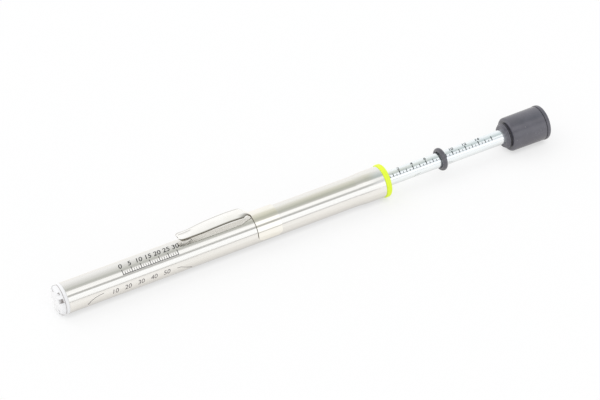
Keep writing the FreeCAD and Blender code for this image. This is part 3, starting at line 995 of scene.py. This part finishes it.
def wrap(bm, radius, x, angle):
    """Lay a flat mesh, in millimetres, on a cylinder about the tool's axis."""
    for step in range(-SLICES, SLICES + 1):
        geometry = bm.verts[:] + bm.edges[:] + bm.faces[:]
        bmesh.ops.bisect_plane(bm, geom=geometry, plane_co=(0, step * SLICE, 0), plane_no=(0, 1, 0))
    for vertex in bm.verts:
        turn = math.radians(angle) - vertex.co.y / radius
        vertex.co = Vector((
            (x + vertex.co.x) * MM,
            -(radius + INK) * math.sin(turn) * MM,
            (radius + INK) * math.cos(turn) * MM,
        ))


def join(target, source, radius, x, angle):
    """Lay a flat mesh on a cylinder and add it to what is printed there already."""
    wrap(source, radius, x, angle)
    mesh = bpy.data.meshes.new("joined")
    source.to_mesh(mesh)
    source.free()
    target.from_mesh(mesh)
    bpy.data.meshes.remove(mesh)


def print_shapes(name, bm, material, body):
    """Make a piece of what was laid on a surface, with all its faces turned outwards."""
    bmesh.ops.recalc_face_normals(bm, faces=bm.faces)
    for face in bm.faces:
        middle = face.calc_center_median()
        if face.normal.dot(Vector((0, middle.y, middle.z))) < 0:
            face.normal_flip()
    mesh = bpy.data.meshes.new(name)
    bm.to_mesh(mesh)
    bm.free()
    mesh.materials.append(material)
    piece = bpy.data.objects.new(name, mesh)
    bpy.context.scene.collection.objects.link(piece)
    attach(piece, body)


def text_shape(text, height, slant, bold):
    """Flat mesh of plain characters, centred, with their height in millimetres."""
    curve = bpy.data.curves.new("figures", "FONT")
    curve.body = text
    curve.size = height / 0.7
    curve.shear = slant
    curve.offset = bold
    curve.align_x = "CENTER"
    curve.align_y = "CENTER"
    carrier = bpy.data.objects.new("figures", curve)
    bpy.context.scene.collection.objects.link(carrier)
    bpy.context.view_layer.update()
    mesh = bpy.data.meshes.new_from_object(carrier.evaluated_get(bpy.context.evaluated_depsgraph_get()))
    bm = bmesh.new()
    bm.from_mesh(mesh)
    bmesh.ops.triangulate(bm, faces=bm.faces)
    bpy.data.objects.remove(carrier)
    bpy.data.curves.remove(curve)
    bpy.data.meshes.remove(mesh)
    return bm


def add_bar(bm, x0, y0, x1, y1, width0, width1):
    """Flat bar between two points whose width changes along it."""
    along = Vector((x1 - x0, y1 - y0))
    side = Vector((-along.y, along.x)).normalized()
    ends = (
        (x0, y0, -width0 / 2),
        (x1, y1, -width1 / 2),
        (x1, y1, width1 / 2),
        (x0, y0, width0 / 2),
    )
    corners = []
    for x, y, half in ends:
        corners.append(bm.verts.new((x + side.x * half, y + side.y * half, 0)))
    bm.faces.new(corners)


def add_leader(target, points, widths, radius, middle):
    """Lay a thin line through (station, angle) points on a cylinder."""
    flat = bmesh.new()
    for i, ((x0, turn0), (x1, turn1)) in enumerate(zip(points, points[1:])):
        y0 = -math.radians(turn0 - middle) * radius
        y1 = -math.radians(turn1 - middle) * radius
        add_bar(flat, x0, y0, x1, y1, widths[i], widths[i + 1])
    join(target, flat, radius, 0, middle)


def print_force_scale(ink):
    """Force scale on the rod: short marks at the half units, longer and bolder ones at the even units."""
    marks = bmesh.new()
    flat = bmesh.new()
    for half_units in range(1, 2 * FORCE_UNITS + 1):
        if half_units % 4 == 0:
            top, foot_width, top_width = FORCE_EVEN_MARK
        elif half_units % 2 == 0:
            top, foot_width, top_width = FORCE_ODD_MARK
        else:
            top, foot_width, top_width = FORCE_HALF_MARK
        x = FORCE_ZERO + FORCE_UNIT * half_units / 2
        add_bar(flat, x, FORCE_MARK_FOOT, x, top, foot_width, top_width)
    join(marks, flat, ROD_RADIUS, 0, FORCE_MARKS_ANGLE)
    for unit in range(2, FORCE_UNITS, 2):
        x = FORCE_ZERO + FORCE_UNIT * unit + 0.1
        join(marks, text_shape(str(unit), *FORCE_FIGURE), ROD_RADIUS, x, FORCE_FIGURES_ANGLE)
    print_shapes("force_scale", marks, ink, "plunger")


def print_rod_leaders(ink):
    leaders = bmesh.new()
    widths = [0.13, 0.13, 0.13]
    add_leader(leaders, [(159.9, 108), (161.2, 98), (162.9, 90)], widths, ROD_RADIUS, 98)
    add_leader(leaders, [(176.6, 91), (177.6, 96), (178.8, 106)], widths, ROD_RADIUS, 98)
    print_shapes("rod_leaders", leaders, ink, "plunger")


def print_span_scale(ink):
    """Span scale on the barrel: marks on a base line, with a figure over each long one."""
    marks = bmesh.new()
    flat = bmesh.new()
    for step in range(SPAN_LENGTH + 1):
        length, width = SPAN_SHORT_MARK if step % 4 else SPAN_LONG_MARK
        x = SPAN_START + step
        add_bar(flat, x, 0, x, length, width, width)
    add_bar(flat, SPAN_START - 0.15, 0, SPAN_START + SPAN_LENGTH + 0.15, 0, 0.26, 0.26)
    join(marks, flat, TUBE_RADIUS, 0, SPAN_MARKS_ANGLE)
    for step in range(7):
        figure = text_shape(str(step * 5), *SPAN_FIGURE)
        join(marks, figure, TUBE_RADIUS, SPAN_START + 4 * step, SPAN_FIGURES_ANGLE)
    print_shapes("span_scale", marks, ink, "barrel")


def print_span_leaders(ink):
    """Lower figures on the barrel, between two curved leader lines."""
    leaders = bmesh.new()
    widths = [0.5, 0.24, 0.2, 0.2, 0.18]
    for points in (
        [(10.8, 104.6), (12.29, 91.0), (14.14, 82.5), (16.08, 78.7), (17.86, 77.1)],
        [(56.1, 112), (54.8, 105), (53.59, 99.2), (51.23, 87.6), (49.53, 85.5)],
    ):
        add_leader(leaders, points, widths, TUBE_RADIUS, 90)
    for i, number in enumerate(LOWER_FIGURES):
        x = LOWER_FIGURES_START + LOWER_FIGURES_STEP * i
        join(leaders, text_shape(number, *LOWER_FIGURE), TUBE_RADIUS, x, LOWER_FIGURES_ANGLE)
    print_shapes("span_leaders", leaders, ink, "barrel")


rod_ink = make_ink("rod_ink", (0.045, 0.055, 0.06))
print_force_scale(rod_ink)
print_rod_leaders(rod_ink)
print_span_scale(make_ink("barrel_ink", (0.02, 0.02, 0.022)))
print_span_leaders(make_ink("span_ink", (0.1, 0.085, 0.095)))


# Floor

FLOOR_AT_PLUG = -6.38
FLOOR_SLOPE = -1.25 / 219.6
FLOOR_HALF = 3


def add_stage(name, vertices, faces, material):
    """Add a mesh of the studio, with its points in metres."""
    mesh = bpy.data.meshes.new(name)
    mesh.from_pydata(vertices, [], faces)
    mesh.shade_smooth()
    mesh.materials.append(material)
    stage = bpy.data.objects.new(name, mesh)
    bpy.context.scene.collection.objects.link(stage)
    return stage


def make_floor_paper():
    """White paper. Seen, mirrored or seen through it is mostly its own even light, with a painted shadow
    near the tool.
    """
    material, tree, shader = new_material("floor_paper")
    grain = noise(tree, 900, 3)
    paint(tree, shader, two_tone(tree, grain, (0.955, 0.955, 0.96), (0.965, 0.965, 0.97)), 0.9)
    shader.inputs["Specular IOR Level"].default_value = 0.1
    # Painted shadow: the floor's own light is darkened where the tool closes it in, and shown darker and
    # warmer in mirrors.
    plain = ramp(tree, openness(tree, 2.6 * MM), [(0.1, 0.74), (0.75, 0.98), (1.0, 1.0)])
    mirrored = ramp(tree, openness(tree, 15 * MM), [
        (0.3, (0.66, 0.65, 0.64)),
        (0.7, (0.9, 0.87, 0.83)),
        (0.9, (0.95, 0.925, 0.885)),
        (1.0, (1.02, 1.0, 0.97)),
    ])
    ray = tree.nodes.new("ShaderNodeLightPath").outputs
    white = tree.nodes.new("ShaderNodeEmission")
    feed(tree, white.inputs["Color"], mix_colors(tree, ray["Is Glossy Ray"], plain, mirrored))
    looked_at = calculate(tree, "MAXIMUM", ray["Is Camera Ray"], ray["Is Glossy Ray"])
    looked_at = calculate(tree, "MAXIMUM", looked_at, ray["Is Transmission Ray"])
    surface = tree.nodes.new("ShaderNodeMixShader")
    feed(tree, surface.inputs["Fac"], calculate(tree, "MULTIPLY", looked_at, 0.75))
    tree.links.new(shader.outputs[0], surface.inputs[1])
    tree.links.new(white.outputs[0], surface.inputs[2])
    tree.links.new(surface.outputs[0], tree.nodes["Material Output"].inputs["Surface"])
    return material


def make_floor():
    """Floor under the tool, which lies on its plug and its rubber rim and so slopes a little."""
    corners = []
    for x, y in ((-1, -1), (1, -1), (1, 1), (-1, 1)):
        drop = FLOOR_SLOPE * (x * FLOOR_HALF - 2.6 * MM)
        corners.append((x * FLOOR_HALF, y * FLOOR_HALF, FLOOR_AT_PLUG * MM + drop))
    add_stage("floor", corners, [(0, 1, 2, 3)], make_floor_paper())


make_floor()


# Light tent: its brightness by angle, from the horizon on the camera's side over the top to the far one

TENT = [
    (-3, (0.62, 0.61, 0.6)),
    (4, (0.62, 0.61, 0.6)),
    (8, (1.12, 1.13, 1.14)),
    (38, (1.16, 1.17, 1.19)),
    (42, (0.52, 0.52, 0.5)),
    (51, (0.5, 0.5, 0.49)),
    (56, (1.14, 1.14, 1.14)),
    (75, (1.14, 1.14, 1.14)),
    (81, (0.58, 0.58, 0.54)),
    (98, (0.5, 0.51, 0.44)),
    (115, (0.66, 0.66, 0.57)),
    (134, (0.82, 0.81, 0.74)),
    (150, (0.99, 0.99, 0.97)),
    (183, (1.02, 1.02, 1.01)),
]
# The same as the belt end sees it, where the dark panel is paler
TENT_AT_BELT = TENT[:7] + [
    (72, (1.12, 1.12, 1.12)),
    (79, (1.08, 1.08, 1.08)),
    (84, (0.61, 0.61, 0.59)),
    (95, (0.55, 0.56, 0.53)),
    (101, (0.62, 0.63, 0.6)),
    (110, (0.72, 0.72, 0.7)),
    (128, (0.83, 0.83, 0.82)),
    (150, (0.97, 0.97, 0.97)),
    (183, (1.02, 1.02, 1.02)),
]
# The same as the rod sees it, where the lower panel is bright and the dark one bluish
TENT_AT_ROD = [
    (-3, (0.95, 0.95, 0.95)),
    (4, (0.98, 0.98, 0.98)),
    (8, (1.14, 1.14, 1.14)),
    (36, (1.14, 1.14, 1.14)),
    (42, (0.76, 0.77, 0.8)),
    (56, (0.8, 0.81, 0.8)),
    (63, (1.0, 1.0, 1.0)),
    (74, (1.0, 1.0, 1.0)),
    (80, (0.7, 0.74, 0.73)),
    (87, (0.52, 0.58, 0.58)),
    (98, (0.58, 0.64, 0.64)),
    (112, (0.72, 0.77, 0.77)),
    (128, (0.84, 0.86, 0.86)),
    (150, (0.98, 0.98, 0.98)),
    (183, (1.0, 1.0, 1.0)),
]
TENT_ANGLES = (-5, 185)
# Where along the tent, in metres, one table passes into the next
BELT_TO_MIDDLE = (0.36, 0.56)
MIDDLE_TO_ROD = (0.7, 0.76)
TENT_RADIUS = 1.3
TENT_ENDS = (-1.6, 2.2)
TENT_STEP = 2
TENT_STEPS = 92


def tent_colors(tree, share, table):
    low, high = TENT_ANGLES
    return ramp(tree, share, [((angle - low) / (high - low), color) for angle, color in table])


def make_tent_cloth():
    material = bpy.data.materials.new("tent_cloth")
    material.use_nodes = True
    tree = material.node_tree
    tree.nodes.clear()
    place = separate(tree, object_place(tree))
    angle = calculate(tree, "ARCTAN2", place["Z"], calculate(tree, "MULTIPLY", place["Y"], -1))
    share = map_range(tree, angle, [math.radians(limit) for limit in TENT_ANGLES])
    color = tent_colors(tree, share, TENT_AT_BELT)
    for table, passage in ((TENT, BELT_TO_MIDDLE), (TENT_AT_ROD, MIDDLE_TO_ROD)):
        along = map_range(tree, place["X"], passage)
        color = mix_colors(tree, along, color, tent_colors(tree, share, table))
    light = tree.nodes.new("ShaderNodeEmission")
    output = tree.nodes.new("ShaderNodeOutputMaterial")
    tree.links.new(color, light.inputs["Color"])
    tree.links.new(light.outputs[0], output.inputs["Surface"])
    return material


def make_tent():
    """Half round tent along the tool that only shines and mirrors show."""
    vertices = []
    for k in range(TENT_STEPS + 1):
        angle = math.radians(TENT_STEP * (k - 1))
        for x in TENT_ENDS:
            vertices.append((x, -TENT_RADIUS * math.cos(angle), TENT_RADIUS * math.sin(angle)))
    faces = [(2 * k, 2 * k + 1, 2 * k + 3, 2 * k + 2) for k in range(TENT_STEPS)]
    tent = add_stage("light_tent", vertices, faces, make_tent_cloth())
    tent.visible_camera = False
    tent.visible_diffuse = False
    tent.visible_shadow = False
    tent.visible_transmission = False


make_tent()


# World, lamp and camera

def make_world():
    world = bpy.data.worlds.new("studio")
    world.use_nodes = True
    background = world.node_tree.nodes["Background"]
    background.inputs["Color"].default_value = (1, 1, 1, 1)
    background.inputs["Strength"].default_value = 0.85
    bpy.context.scene.world = world


def make_lamp():
    """Soft key light from the far side, which no metal mirrors."""
    data = bpy.data.lights.new("key", "SUN")
    data.energy = 0.7
    data.angle = math.radians(50)
    lamp = bpy.data.objects.new("key", data)
    bpy.context.scene.collection.objects.link(lamp)
    lamp.rotation_euler = Vector((-0.5, 0.55, 1.0)).to_track_quat("Z", "Y").to_euler()
    lamp.visible_glossy = False


def make_camera():
    data = bpy.data.cameras.new("camera")
    data.lens = 133.0
    data.sensor_width = 36
    data.clip_start = 0.01
    data.clip_end = 20
    camera = bpy.data.objects.new("camera", data)
    bpy.context.scene.collection.objects.link(camera)
    camera.location = (-0.2014, -0.5765, 0.62013)
    view = Vector((0.111, 0.00565, 0.00013)) - camera.location
    camera.rotation_euler = view.to_track_quat("-Z", "Y").to_euler()
    bpy.context.scene.camera = camera


make_world()
make_lamp()
make_camera()

bpy.context.scene.view_settings.view_transform = "Standard"
